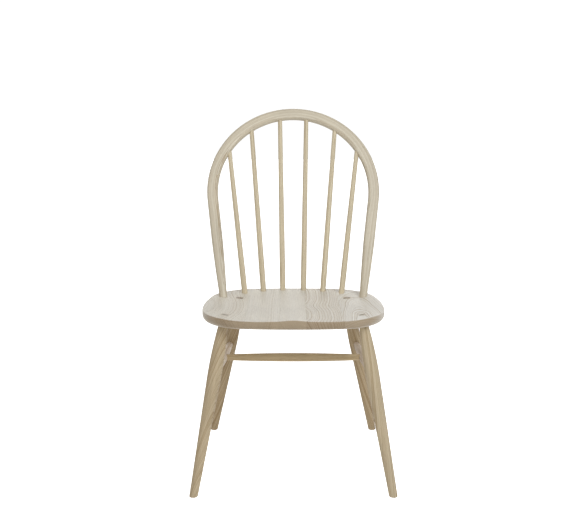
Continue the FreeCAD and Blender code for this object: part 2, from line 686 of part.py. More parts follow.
def make_leg(corner, form, floor, saddle, stretcher):
    """A leg sawn level at the floor, flush with the seat, split by its wedge and bored."""
    standing = cut(corner + "_standing", form, floor)
    doc.recompute()
    sole = [number for number, edge in enumerate(standing.Shape.Edges, start=1) if lies_at(0)(edge)]
    eased = doc.addObject("Part::Chamfer", corner + "_eased")
    eased.Base = standing
    eased.Edges = [(number, size("sole_chamfer"), size("sole_chamfer")) for number in sole]
    flush = cut(corner + "_flush", eased, saddle)
    foot, top = leg_line(corner)
    into_tenon = along(foot, top).multiply(
        Placement(Vector(0, 0, (top - foot).Length), Rotation(Vector(1, 0, 0), 180))
    )
    row, side = corner.split("_")
    turn = size(row + "_wedge_turn") * (1 if side == "left" else -1)
    into_tenon = into_tenon.multiply(Placement(Vector(), Rotation(Vector(0, 0, 1), turn)))
    wedge_form = make_wedge_form(corner + "_wedge_form", into_tenon, "Sizes.leg_tenon_diameter")
    wedge = common("leg_wedge_" + corner, wedge_form, flush)
    split = cut(corner + "_split", flush, wedge_form)
    return cut("leg_" + corner, split, stretcher), wedge


def make_spindle(name, side, kind):
    """A turned spindle from its hole in the hoop down to its hole in the seat."""
    top, foot = spindle_line(side, kind)
    length = "Sizes.%s_length" % name
    return make_tapered_rod(
        name,
        along(top, foot),
        thin="Sizes.spindle_top_diameter",
        belly="Sizes.spindle_belly_diameter",
        neck="Sizes.spindle_foot_diameter",
        tenon="Sizes.spindle_tenon_diameter",
        start="-Sizes.spindle_hoop_depth",
        belly_at="(%s - Sizes.spindle_belly_rise)" % length,
        neck_at=length,
        end="(%s + Sizes.spindle_seat_depth)" % length,
    )


def make_hoop(form, seat, spindles):
    """The hoop flush with the seat's underside, split by its wedges and bored for the spindles."""
    reach = size("front_corner_x") + 2 * ROOM
    depth = size("seat_thickness") + 3 * ROOM
    corner = Vector(-reach, -reach, -depth)
    slab = box("underside_slab", corner, 2 * reach, 2 * reach, depth - size("seat_thickness") / 2, seat_place)
    below_seat = cut("below_seat", slab, seat)
    flush = cut("hoop_flush", form, below_seat)
    wedge_forms = []
    wedges = []
    for name, side in (("hoop_wedge_left", -1), ("hoop_wedge_right", 1)):
        up_flank = Placement(Vector(side * size("hoop_foot_x"), 0, 0), Rotation(Vector(0, 0, 1), -side * flank_angle))
        into_tenon = Placement(Vector(0, -size("hoop_wedge_start"), 0), Rotation(Vector(1, 0, 0), -90))
        place = hoop_place.multiply(up_flank).multiply(into_tenon)
        wedge_form = make_wedge_form(name + "_form", place, "Sizes.hoop_foot_diameter")
        wedge_forms.append(wedge_form)
        wedges.append(common(name, wedge_form, flush))
    split = cut("hoop_split", flush, together("hoop_wedge_forms", wedge_forms))
    return cut("hoop", split, together("hoop_bores", spindles)), wedges


saddle = make_saddle()
seat = make_seat(saddle)
floor_reach = size("seat_height")
floor_corner = Vector(-floor_reach, -floor_reach, -3 * ROOM)
floor = box("floor", floor_corner, 2 * floor_reach, 2 * floor_reach, 3 * ROOM, Placement())

cross_stretcher = make_stretcher(
    "cross_stretcher", "cross_stretcher", (beside_middle("left"), beside_middle("right")),
    "Sizes.cross_stretcher_diameter", "Sizes.cross_stretcher_end", "Sizes.side_stretcher_diameter",
)
pieces = [cross_stretcher]
side_forms = {}
for side in ("left", "right"):
    name = "side_stretcher_" + side
    side_forms[side] = make_stretcher(
        name + "_form", name, side_stretcher_line(side),
        "Sizes.side_stretcher_diameter", "Sizes.side_stretcher_end", "Sizes.leg_belly_diameter",
    )
    pieces.append(cut(name, side_forms[side], cross_stretcher))

leg_forms = {corner: make_leg_form(corner) for corner in LEGS}
for corner, form in leg_forms.items():
    pieces += make_leg(corner, form, floor, saddle, side_forms[corner.split("_")[1]])

spindles = [make_spindle(*spec) for spec in SPINDLES]
hoop_form = make_hoop_form()
hoop, hoop_wedges = make_hoop(hoop_form, seat, spindles)
pieces += spindles + [hoop] + hoop_wedges

pins = together("seat_pins", list(leg_forms.values()) + [hoop_form] + spindles)
seat_side = size("front_corner_x") + 2 * ROOM
glue_lines = [-seat_side] + [size("glue_line_%d" % number) for number in range(1, 5)] + [seat_side]
for number, (left, right) in enumerate(zip(glue_lines, glue_lines[1:]), start=1):
    pieces.append(make_board(number, left, right, seat, pins))

# Nothing is written unless every object has been worked out and every piece is one sound solid.
doc.recompute()
faults = [item.Name for item in doc.Objects if "Invalid" in item.State or "Error" in item.State]
for piece in pieces:
    shape = piece.Shape
    if shape.isNull() or not shape.isValid() or len(shape.Solids) != 1:
        faults.append(piece.Name)
if faults:
    raise RuntimeError("not sound: " + ", ".join(faults))

os.makedirs("parts", exist_ok=True)
whole = Part.makeCompound([piece.Shape for piece in pieces])
for piece in pieces:
    piece.Label = piece.Name
    piece.Shape.Solids[0].exportStep("parts/%s.step" % piece.Label)
    print("%-24s %9.0f mm3" % (piece.Label, piece.Shape.Volume))
bounds = whole.optimalBoundingBox()
print("%d pieces" % len(pieces))
print("width %.1f, depth %.1f, height %.1f mm" % (bounds.XLength, bounds.YLength, bounds.ZLength))
print("middle of the depth at y %.2f, lowest point at z %.2f" % (bounds.Center.y, bounds.ZMin))
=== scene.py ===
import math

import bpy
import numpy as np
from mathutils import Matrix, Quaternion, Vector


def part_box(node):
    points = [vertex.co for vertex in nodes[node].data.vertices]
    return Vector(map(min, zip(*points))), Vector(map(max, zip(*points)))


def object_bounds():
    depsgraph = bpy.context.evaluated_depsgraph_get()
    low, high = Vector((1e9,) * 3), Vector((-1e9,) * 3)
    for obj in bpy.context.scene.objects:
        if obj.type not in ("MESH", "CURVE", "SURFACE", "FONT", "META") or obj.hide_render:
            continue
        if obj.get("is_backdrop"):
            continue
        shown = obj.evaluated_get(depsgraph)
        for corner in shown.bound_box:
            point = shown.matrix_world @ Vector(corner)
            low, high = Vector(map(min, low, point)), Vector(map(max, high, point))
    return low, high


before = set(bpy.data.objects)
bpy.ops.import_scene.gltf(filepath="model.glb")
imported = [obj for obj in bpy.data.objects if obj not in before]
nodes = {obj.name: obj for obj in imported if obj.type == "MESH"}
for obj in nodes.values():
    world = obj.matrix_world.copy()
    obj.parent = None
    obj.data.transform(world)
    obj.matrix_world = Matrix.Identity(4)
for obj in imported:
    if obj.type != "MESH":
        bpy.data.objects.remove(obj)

# %% [markdown]
# # A hoop-back windsor chair in bare ash
#
# The chair is joinery in a single timber: a seat of five glued boards, four wedged legs, three
# stretchers, a bent hoop and six spindles. Its shapes are already exact, so nothing is modelled
# over them here. What the shapes lack is the timber. Ash is pale, with wide bands of open pores,
# and every piece was cut from its own place in the tree, so each one shows its rings differently.
# This lesson builds one solid model of ash, and then tells each piece how it lay in the log.

packed_low, packed_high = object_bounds()
print("pieces:", len(nodes))
print("size in mm:", [round(1000 * (high - low)) for low, high in zip(packed_low, packed_high)])

# %% [markdown]
# ## Camera
#
# The chair was photographed from about two and a quarter metres away, with the camera tipped ten
# degrees down. The distance matters more than the lens: it sets how much smaller the rear feet
# look than the front ones. A lens is easier to trust when it is worked out from the picture, as
# its width in pixels against the focal length in pixels, than when it is turned until things
# look right.

# %% Place the camera
PICTURE_WIDTH = 582
FOCAL_PIXELS = 870
SENSOR_WIDTH = 36
CAMERA_PLACE = (-0.006, -2.2492, 0.935)
CAMERA_TILT = math.radians(80)

scene = bpy.context.scene
camera_data = bpy.data.cameras.new("front_camera")
camera_data.sensor_width = SENSOR_WIDTH
camera_data.lens = FOCAL_PIXELS / PICTURE_WIDTH * SENSOR_WIDTH
camera = bpy.data.objects.new("front_camera", camera_data)
camera.location = CAMERA_PLACE
camera.rotation_euler = (CAMERA_TILT, 0, 0)
scene.collection.objects.link(camera)
scene.camera = camera
print("lens: %.1f mm" % camera_data.lens)

# %% [markdown]
# ## Studio
#
# The chair stands on a white floor with no visible end, in a room of white card. A strong lamp
# stands high at the front right and gives the round legs their shading. Weaker ones at the front
# left, overhead and behind, the card and the bright floor keep the far sides open. The strengths
# weren't guessed. Light adds up, so each lamp can be rendered alone, and the sum that gives the
# tones of the photograph then follows by arithmetic.
#
# A lit backdrop looks whiter than it is as a lamp. So both the floor and the room show the camera
# one brightness and lend the wood another, which the Light Path node can tell apart.

# %% Lay the floor
FLOOR_REACH = 14.0
FLOOR_SIDES = 96

rim = [2 * math.pi * step / FLOOR_SIDES for step in range(FLOOR_SIDES)]
floor_mesh = bpy.data.meshes.new("floor")
floor_mesh.from_pydata(
    [(FLOOR_REACH * math.cos(turn), FLOOR_REACH * math.sin(turn), 0) for turn in rim],
    [],
    [list(range(FLOOR_SIDES))],
)
floor = bpy.data.objects.new("floor", floor_mesh)
scene.collection.objects.link(floor)
floor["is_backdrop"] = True
print("floor: %.0f m across" % (2 * FLOOR_REACH))

# %% Paint the floor
FLOOR_PAINT = (0.80, 0.80, 0.80, 1)
FLOOR_LIFT = 0.95
FLOOR_GLOW = 0.315

paint = bpy.data.materials.new("white_floor_paint")
paint.use_nodes = True
coat = paint.node_tree.nodes["Principled BSDF"]
coat.inputs["Base Color"].default_value = FLOOR_PAINT
coat.inputs["Roughness"].default_value = 0.9
coat.inputs["Specular IOR Level"].default_value = 0.1
coat.inputs["Emission Color"].default_value = (1, 1, 1, 1)
ray = paint.node_tree.nodes.new("ShaderNodeLightPath")
lift = paint.node_tree.nodes.new("ShaderNodeMath")
lift.operation = "MULTIPLY_ADD"
lift.inputs[1].default_value = FLOOR_LIFT
lift.inputs[2].default_value = FLOOR_GLOW
paint.node_tree.links.new(ray.outputs["Is Camera Ray"], lift.inputs[0])
paint.node_tree.links.new(lift.outputs[0], coat.inputs["Emission Strength"])
floor_mesh.materials.append(paint)
print("floor paint:", paint.name)

# %% Hang the lamps
# Each line is a lamp's name, its place, what it looks at, its two sides, its power and its tint.
LAMPS = [
    ("right_lamp", (1.2, -2.3, 2.3), (0, 0, 0.4), (1.2, 1.2), 45.0, (0.91, 0.96, 1.0)),
    ("left_lamp", (-1.2, -2.3, 2.3), (0, 0, 0.4), (1.2, 1.2), 10.5, (1.0, 0.93, 0.89)),
    ("overhead_lamp", (0.1, -0.1, 2.9), (0, 0, 0.45), (2.6, 2.4), 5.0, (0.98, 1.0, 0.85)),
    ("back_lamp", (0, 2.5, 2.0), (0, 0, 0.4), (2.0, 1.4), 6.0, (1.0, 1.0, 1.0)),
]


def hang_lamp(name, place, aim, sides, power, tint):
    """A soft rectangular lamp that looks at a point."""
    lamp = bpy.data.lights.new(name, "AREA")
    lamp.shape = "RECTANGLE"
    lamp.size, lamp.size_y = sides
    lamp.energy = power
    lamp.color = tint
    holder = bpy.data.objects.new(name, lamp)
    holder.location = place
    holder.rotation_euler = (Vector(aim) - Vector(place)).to_track_quat("-Z", "Y").to_euler()
    scene.collection.objects.link(holder)


for line in LAMPS:
    hang_lamp(*line)

# %% Light the room
ROOM_GLOW = 0.29
ROOM_TINT = (1.0, 0.96, 0.91, 1)
BACKDROP = 1.04

room = bpy.data.worlds.new("white_room")
room.use_nodes = True
room_nodes = room.node_tree.nodes
room_links = room.node_tree.links
glow = room_nodes["Background"]
glow.inputs["Color"].default_value = ROOM_TINT
glow.inputs["Strength"].default_value = ROOM_GLOW
backdrop = room_nodes.new("ShaderNodeBackground")
backdrop.inputs["Color"].default_value = (1, 1, 1, 1)
backdrop.inputs["Strength"].default_value = BACKDROP
path = room_nodes.new("ShaderNodeLightPath")
either = room_nodes.new("ShaderNodeMixShader")
seen = room_nodes.new("ShaderNodeMath")
seen.operation = "MAXIMUM"
room_links.new(path.outputs["Is Camera Ray"], seen.inputs[0])
room_links.new(path.outputs["Is Glossy Ray"], seen.inputs[1])
room_links.new(seen.outputs[0], either.inputs[0])
room_links.new(glow.outputs[0], either.inputs[1])
room_links.new(backdrop.outputs[0], either.inputs[2])
room_links.new(either.outputs[0], room_nodes["World Output"].inputs["Surface"])
scene.world = room
scene.view_settings.view_transform = "Standard"
print("the room glows at", ROOM_GLOW, "and shows at", BACKDROP)

# %% [markdown]
# ## Ash as a solid
#
# A picture of timber pasted on a chair shows at once at the edges, where the grain should turn
# into end grain and doesn't. A solid pattern never has that fault: it fills space, and the saw
# and the plane uncover whatever is there. A tree is simple enough to describe. It is a stack of
# cones round a pith, one for each summer, and in ash each one starts with a band of open pores
# and ends dense and smooth. So the pattern needs three things: how far a point is from the
# pith, where that falls within its year, and the pores and fibres that run along the grain.

# %% Helpers that wire nodes
def wire(tree, kind, values, **settings):
    """Adds a node. A value that is another node's output is linked, and any other is stored."""
    made = tree.nodes.new("ShaderNode" + kind)
    for name, value in settings.items():
        setattr(made, name, value)
    for name, value in values.items():
        plug(tree, made.inputs[name], value)
    return made


def plug(tree, socket, value):
    """Links or stores one value."""
    if isinstance(value, bpy.types.NodeSocket):
        tree.links.new(value, socket)
    else:
        socket.default_value = value


def start_group(name, inputs, outputs):
    """An empty node group with its sockets, and its two ends."""
    group = bpy.data.node_groups.new(name, "ShaderNodeTree")
    for title, kind, value in inputs:
        socket = group.interface.new_socket(
            name=title, in_out="INPUT", socket_type="NodeSocket" + kind
        )
        if value is not None:
            socket.default_value = value
    for title, kind in outputs:
        group.interface.new_socket(
            name=title, in_out="OUTPUT", socket_type="NodeSocket" + kind
        )
    return group, group.nodes.new("NodeGroupInput"), group.nodes.new("NodeGroupOutput")


# %% Helpers that work with numbers and places
def work_out(tree, operation, *terms):
    """One step of arithmetic, and the number that comes out."""
    made = tree.nodes.new("ShaderNodeMath")
    made.operation = operation
    for socket, term in zip(made.inputs, terms):
        plug(tree, socket, term)
    return made.outputs[0]


def distance(tree, one_way, other_way):
    """How far a point lies, from how far it lies in each of two ways."""
    one_square = work_out(tree, "MULTIPLY", one_way, one_way)
    other_square = work_out(tree, "MULTIPLY", other_way, other_way)
    return work_out(tree, "SQRT", work_out(tree, "ADD", one_square, other_square))


def between(tree, value, low, high, new_low=0.0, new_high=1.0):
    """The value's place between low and high, smooth at both ends."""
    values = {"Value": value, 1: low, 2: high, 3: new_low, 4: new_high}
    return wire(tree, "MapRange", values, interpolation_type="SMOOTHSTEP").outputs[0]


def speckle(tree, place, across, along, detail=2.0):
    """Soft noise, with its scale across the grain and along it in steps per metre."""
    scales = (across, across, along)
    scaled = wire(tree, "VectorMath", {0: place, 1: scales}, operation="MULTIPLY")
    values = {"Vector": scaled.outputs[0], "Scale": 1.0, "Detail": detail, "Roughness": 0.5}
    return wire(tree, "TexNoise", values)


# %% [markdown]
# ## Growth rings
#
# The pith of a log is never quite straight, and it rarely runs level with the face of a board.
# Where the face cuts the rings at a slant, they come out as the nested arches that joiners call
# cathedrals, and where it cuts them squarely they are plain lines. Both follow by themselves from
# three numbers for the pith: how far it lies to the side, how deep it lies, and how fast it leans
# away. A tree that grew with a bend gives swinging lines instead, and three numbers for its crook
# are enough for those: how far the pith sways, how quickly, and where in its swing it starts. So
# no arch and no curve has to be drawn.

# %% Start the ring pattern
STRAIGHT = (0.0, 0.0, 0.0)

rings, given, found = start_group(
    "growth_rings",
    [
        ("Place", "Vector", None),
        ("Pith", "Vector", None),
        ("Ring", "Float", None),
        ("Wander", "Float", None),
        ("Crook", "Vector", STRAIGHT),
    ],
    [("Early", "Float"), ("Place", "Vector")],
)
print("sockets of the ring pattern:", [socket.name for socket in rings.interface.items_tree])

# %% Let the rings wander
WANDER_ACROSS = 6.0
WANDER_ALONG = 4.5
NOISE_MIDDLE = (0.5, 0.5, 0.5)

drift = speckle(rings, given.outputs["Place"], WANDER_ACROSS, WANDER_ALONG)
centred = wire(
    rings, "VectorMath", {0: drift.outputs["Color"], 1: NOISE_MIDDLE}, operation="SUBTRACT"
)
swung = wire(
    rings,
    "VectorMath",
    {0: centred.outputs[0], "Scale": given.outputs["Wander"]},
    operation="SCALE",
)
moved = wire(
    rings, "VectorMath", {0: given.outputs["Place"], 1: swung.outputs[0]}, operation="ADD"
)
print("the rings wander over about %.0f mm across the grain" % (1000 / WANDER_ACROSS))

# %% Measure from the pith
here = wire(rings, "SeparateXYZ", {0: moved.outputs[0]})
pith = wire(rings, "SeparateXYZ", {0: given.outputs["Pith"]})
crook = wire(rings, "SeparateXYZ", {0: given.outputs["Crook"]})
aside, depth, along = here.outputs
pith_aside, pith_depth, pith_lean = pith.outputs
crook_reach, crook_rate, crook_start = crook.outputs

swing = work_out(rings, "MULTIPLY_ADD", along, crook_rate, crook_start)
sway = work_out(rings, "SINE", swing)
leaning = work_out(rings, "MULTIPLY_ADD", pith_lean, along, pith_depth)
leaning = work_out(rings, "MULTIPLY_ADD", sway, crook_reach, leaning)
from_pith = distance(
    rings,
    work_out(rings, "SUBTRACT", aside, pith_aside),
    work_out(rings, "SUBTRACT", depth, leaning),
)
print("steps in the ring pattern so far:", len(rings.nodes))

# %% Count the years
# Good and bad summers: how quickly they come and go, and by how many rings they shift the count.
WEATHER_RATE = 130.0
WEATHER_SHIFT = 2.2

weather = wire(
    rings,
    "TexNoise",
    {"W": work_out(rings, "MULTIPLY", from_pith, WEATHER_RATE), "Detail": 1.0},
    noise_dimensions="1D",
)
count = work_out(rings, "DIVIDE", from_pith, given.outputs["Ring"])
years = work_out(rings, "MULTIPLY_ADD", weather.outputs[0], WEATHER_SHIFT, count)
season = work_out(rings, "FRACT", years)
year = work_out(rings, "FLOOR", years)
print("the weather turns every %.0f mm" % (1000 / WEATHER_RATE))

# %% Find the band of spring wood
SPRING_RISES = (0.0, 0.10)
SUMMER_FADES = (0.12, 0.72)
LEAST_BAND = 0.35
BAND_RANGE = 0.75

each = wire(rings, "TexWhiteNoise", {"W": year}, noise_dimensions="1D")
spring = between(rings, season, *SPRING_RISES)
summer = between(rings, season, *SUMMER_FADES, 1.0, 0.0)
share = work_out(rings, "MULTIPLY_ADD", each.outputs[0], BAND_RANGE, LEAST_BAND)
band = work_out(rings, "MULTIPLY", work_out(rings, "MULTIPLY", spring, summer), share)
plug(rings, found.inputs["Early"], band)
plug(rings, found.inputs["Place"], moved.outputs[0])
print("steps in the ring pattern:", len(rings.nodes))

# %% [markdown]
# ## Pores, fibres and the finish
#
# Close to, ash is all short dark dashes: pores a third of a millimetre wide and many millimetres
# long, crowded into the spring part of each ring. They also catch a little shadow, so they go
# into the bump as well as the colour. Under them runs a finer streak of fibres, and over the
# whole piece the colour drifts a little from cream to grey. End grain drinks light and looks
# darker. An edge is smoother than the face beside it and is painted paler, partly as wear and
# partly as a painted highlight along the rounded arris.

# %% Start the ash
SEAT_END = (0.485, 0.40, 0.30, 1.0)

ash, given, found = start_group(
    "ash",
    [
        ("Place", "Vector", None),
        ("Facing", "Vector", None),
        ("Pith", "Vector", None),
        ("Ring", "Float", None),
        ("Wander", "Float", None),
        ("Crook", "Vector", STRAIGHT),
        ("Figure", "Float", None),
        ("Tone", "Color", None),
        ("End", "Color", SEAT_END),
    ],
    [("Color", "Color"), ("Roughness", "Float"), ("Normal", "Vector")],
)
ringed = ash.nodes.new("ShaderNodeGroup")
ringed.node_tree = rings
for name in ("Place", "Pith", "Ring", "Wander", "Crook"):
    plug(ash, ringed.inputs[name], given.outputs[name])
early = ringed.outputs["Early"]
place = ringed.outputs["Place"]
print("sockets of the ash:", [socket.name for socket in ash.interface.items_tree])

# %% Lay in pores, fibres and clouds
# Each scale is in steps per metre, first across the grain and then along it.
PORE_SCALE = (1500.0, 70.0)
FIBRE_SCALE = (520.0, 9.0)
CLOUD_SCALE = (16.0, 5.0)
PORES_IN_SPRING = 0.85
PORES_ALL_YEAR = 0.15
PORE_RIM = (0.56, 0.70)
NOISE_SPAN = (0.25, 0.75)
FIBRE_SHADES = (0.93, 1.07)
CLOUD_SHADES = (0.94, 1.05)

pore_noise = speckle(ash, place, *PORE_SCALE, detail=1.0)
fibre_noise = speckle(ash, place, *FIBRE_SCALE, detail=3.0)
cloud_noise = speckle(ash, place, *CLOUD_SCALE)
crowd = work_out(ash, "MULTIPLY_ADD", early, PORES_IN_SPRING, PORES_ALL_YEAR)
pores = between(ash, pore_noise.outputs[0], *PORE_RIM)
pores = work_out(ash, "MULTIPLY", pores, crowd)
fibres = between(ash, fibre_noise.outputs[0], *NOISE_SPAN, *FIBRE_SHADES)
clouds = between(ash, cloud_noise.outputs[0], *NOISE_SPAN, *CLOUD_SHADES)
print("steps in the ash so far:", len(ash.nodes))

# %% Find end grain, and edges that are worn and painted with a highlight
# How far a face has turned towards the end of the grain, from 0 at its side to 1, and how well
# a softened edge still agrees with the true face.
END_GRAIN = (0.12, 0.80)
EDGE_ROUND = 0.0016
EDGE_AGREES = (0.90, 0.995)

way = wire(ash, "SeparateXYZ", {0: given.outputs["Facing"]})
along_grain = work_out(ash, "ABSOLUTE", way.outputs[2])
end_grain = between(ash, along_grain, *END_GRAIN)
soft_edge = wire(ash, "Bevel", {"Radius": EDGE_ROUND}, samples=4)
true_way = wire(ash, "NewGeometry", {})
agree = wire(
    ash,
    "VectorMath",
    {0: soft_edge.outputs[0], 1: true_way.outputs["Normal"]},
    operation="DOT_PRODUCT",
)
worn_and_highlit = between(ash, agree.outputs["Value"], *EDGE_AGREES, 1.0, 0.0)
print("worn edges: %.1f mm wide" % (1000 * EDGE_ROUND))

# %% Colour the ash
PALE = (0.640, 0.548, 0.410, 1)
SPRING = (0.400, 0.298, 0.180, 1)
PORE = (0.250, 0.175, 0.105, 1)
PORE_SHADE = 0.55
# Edges are painted paler by this much, partly as wear and partly as a painted highlight on the
# rounded arris.
EDGE_WEAR_AND_HIGHLIGHT = 0.07

ringed_share = work_out(ash, "MULTIPLY", early, given.outputs["Figure"])
wood = wire(ash, "Mix", {0: ringed_share, 6: PALE, 7: SPRING}, data_type="RGBA")
pore_share = work_out(ash, "MULTIPLY", pores, PORE_SHADE)
wood = wire(ash, "Mix", {0: pore_share, 6: wood.outputs[2], 7: PORE}, data_type="RGBA")
dim = work_out(ash, "MULTIPLY", fibres, clouds)
dim = work_out(ash, "MULTIPLY", dim, work_out(ash, "MULTIPLY_ADD", worn_and_highlit, EDGE_WEAR_AND_HIGHLIGHT, 1.0))
shaded = wire(ash, "VectorMath", {0: wood.outputs[2], "Scale": dim}, operation="SCALE")
thirsty = wire(
    ash, "Mix", {0: end_grain, 6: (1, 1, 1, 1), 7: given.outputs["End"]}, data_type="RGBA"
)
toned = wire(
    ash, "VectorMath", {0: given.outputs["Tone"], 1: thirsty.outputs[2]}, operation="MULTIPLY"
)
shaded = wire(
    ash, "VectorMath", {0: shaded.outputs[0], 1: toned.outputs[0]}, operation="MULTIPLY"
)
plug(ash, found.inputs["Color"], shaded.outputs[0])
print("ash is pale at", PALE[:3], "and darkest in its pores at", PORE[:3])

# %% Plane the surface
PLANED = 0.40
PORE_ROUGHER = 0.14
CLOUD_ROUGHER = 0.10
WORN_SMOOTHER = -0.08
FIBRE_HEIGHT = 0.5
PORE_HEIGHT = -1.0
BAND_HEIGHT = -0.25
BUMP_DEPTH = 0.00018
BUMP_STRENGTH = 0.5

rough = work_out(ash, "MULTIPLY_ADD", pores, PORE_ROUGHER, PLANED)
rough = work_out(ash, "MULTIPLY_ADD", cloud_noise.outputs[0], CLOUD_ROUGHER, rough)
rough = work_out(ash, "MULTIPLY_ADD", worn_and_highlit, WORN_SMOOTHER, rough)
height = work_out(ash, "MULTIPLY", fibre_noise.outputs[0], FIBRE_HEIGHT)
height = work_out(ash, "MULTIPLY_ADD", pores, PORE_HEIGHT, height)
height = work_out(ash, "MULTIPLY_ADD", early, BAND_HEIGHT, height)
bumped = wire(ash, "Bump", {
    "Height": height,
    "Strength": BUMP_STRENGTH,
    "Distance": BUMP_DEPTH,
    "Normal": soft_edge.outputs[0],
})
plug(ash, found.inputs["Roughness"], rough)
plug(ash, found.inputs["Normal"], bumped.outputs[0])
print("steps in the ash:", len(ash.nodes))

# %% [markdown]
# ## From the log to a piece
#
# Each piece gets a material of its own. It differs in where the piece lay in the log and in its
# tones, and on the seat, the left side stretcher and the end grain of the round pieces those
# tones also hold painted light.
# The pattern's third way has to run along the grain, so every straight piece turns the pattern
# until that way follows its length. The length is read from the piece's own points: the way in
# which they spread most is the way of its grain.
#
# A cut says the rest: the pith and the crook, how wide a ring is, how far the rings wander, how
# strongly their figure shows, and the tones of the face and of the end grain. Its lengths are in
# metres, as the chair's are.

# %% Cut a piece from the log
SATIN = 0.42


def finish_piece(name, place_of, facing_of, cut, shine=SATIN):
    """A material for one piece. The two functions give its place and facing in grain terms."""
    finish = bpy.data.materials.new("ash_" + name)
    finish.use_nodes = True
    tree = finish.node_tree
    surface = tree.nodes["Principled BSDF"]
    where = wire(tree, "TexCoord", {})
    timber = tree.nodes.new("ShaderNodeGroup")
    timber.node_tree = ash
    plug(tree, timber.inputs["Place"], place_of(tree, where.outputs["Object"]))
    plug(tree, timber.inputs["Facing"], facing_of(tree, where.outputs["Normal"]))
    for key, value in cut.items():
        timber.inputs[key].default_value = value
    plug(tree, surface.inputs["Base Color"], timber.outputs["Color"])
    plug(tree, surface.inputs["Roughness"], timber.outputs["Roughness"])
    plug(tree, surface.inputs["Normal"], timber.outputs["Normal"])
    surface.inputs["Specular IOR Level"].default_value = shine
    piece = nodes[name]
    piece.data.materials.clear()
    piece.data.materials.append(finish)


def turned_by(middle, turn):
    """Functions that read a straight piece's place and facing along its own grain."""
    def place_of(tree, spot):
        values = {"Vector": spot, "Location": middle, "Rotation": turn}
        return wire(tree, "Mapping", values, vector_type="TEXTURE").outputs[0]

    def facing_of(tree, normal):
        values = {"Vector": normal, "Rotation": turn}
        return wire(tree, "Mapping", values, vector_type="TEXTURE").outputs[0]

    return place_of, facing_of


# %% Find a piece's length
NEARLY_LEVEL = 0.1


def along_its_length(name, roll=0):
    """The middle of a long straight piece and the turn from the log's way to its own."""
    points = np.array([point.co for point in nodes[name].data.vertices])
    low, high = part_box(name)
    spread = np.linalg.svd(points - points.mean(0), full_matrices=False)[2]
    length = Vector(spread[0])
    points_down = length.z < 0
    points_left = abs(length.z) < NEARLY_LEVEL and length.x < 0
    if points_down or points_left:
        length.negate()
    turn = length.to_track_quat("Z", "Y") @ Quaternion((0, 0, 1), math.radians(roll))
    return (low + high) / 2, turn.to_euler()


# %% [markdown]
# ## Seat boards
#
# A seat this wide is glued up from five boards, and no two were neighbours in the tree. Seen from
# the front, from left to right: one whose lines bow out to the side like a bracket, a fine quiet
# one, a pale plain one, one that swings from side to side and calms into fine lines, and one with
# the nested arches of a cathedral round a leg's tenon. The grain runs from front to back, so the
# front edge of the seat is all end grain.

# %% Finish the boards
# The seat's tones are paler and bluer than the ash of the other pieces. This is painted light,
# for the cool light and sheen that fall on the seat's top. Boards four and five get still paler
# tones of the same kind.
SEAT_TONE_AND_TOP_LIGHT = (1.26, 1.405, 1.70, 1)
BOARD_CUTS = [
    {
        "Pith": (-0.100, -0.050, 0.02), "Crook": (0.028, 18.0, 1.03),
        "Ring": 0.0026, "Wander": 0.010, "Figure": 1.0,
    },
    {
        "Pith": (0.190, -0.060, 0.02),
        "Ring": 0.0024, "Wander": 0.006, "Figure": 0.45,
    },
    {
        "Pith": (-0.260, -0.180, 0.05),
        "Ring": 0.0034, "Wander": 0.010, "Figure": 0.25,
    },
    {
        "Pith": (-0.098, -0.030, 0.02), "Crook": (0.022, 25.1, -1.57),
        "Ring": 0.0020, "Wander": 0.006, "Figure": 1.5, "Tone": (1.28, 1.43, 1.75, 1),
    },
    {
        "Pith": (0.000, -0.119, 0.075),
        "Ring": 0.0019, "Wander": 0.010, "Figure": 0.80, "Tone": (1.33, 1.50, 1.87, 1),
    },
]
for number, cut in enumerate(BOARD_CUTS, start=1):
    name = "seat_board_%d" % number
    low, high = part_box(name)
    middle = ((low.x + high.x) / 2, (low.y + high.y) / 2, high.z)
    finish_piece(name, *turned_by(middle, (math.pi / 2, 0, 0)), {"Tone": SEAT_TONE_AND_TOP_LIGHT, **cut})
    print(name, "is %.0f mm wide" % (1000 * (high.x - low.x)))

# %% [markdown]
# ## Legs and stretchers
#
# The legs were turned from squares, so the rings run straight through them and the swelling cuts
# them into long thin flames. No two squares came with the pith on the same side. Each leg is
# rolled about its length until its flames lie much as they do on the real one. The rear legs and
# the cross stretcher are given darker tones, and the side stretchers paler ones. The left side
# stretcher's much paler tone is painted light, for the light that falls on it under the seat.

# %% Finish the legs and stretchers
ROUND_RING = 0.0038
ROUND_WANDER = 0.006
ROUND_SHINE = 0.2
# The end grain of the round pieces is painted paler and bluer than their face, like the seat's
# top where the tenons show. This is painted light.
ROUND_END_AND_TOP_LIGHT = (1.20, 1.30, 1.60, 1)
REAR_LEG_TONE = (0.78, 0.72, 0.62, 1)

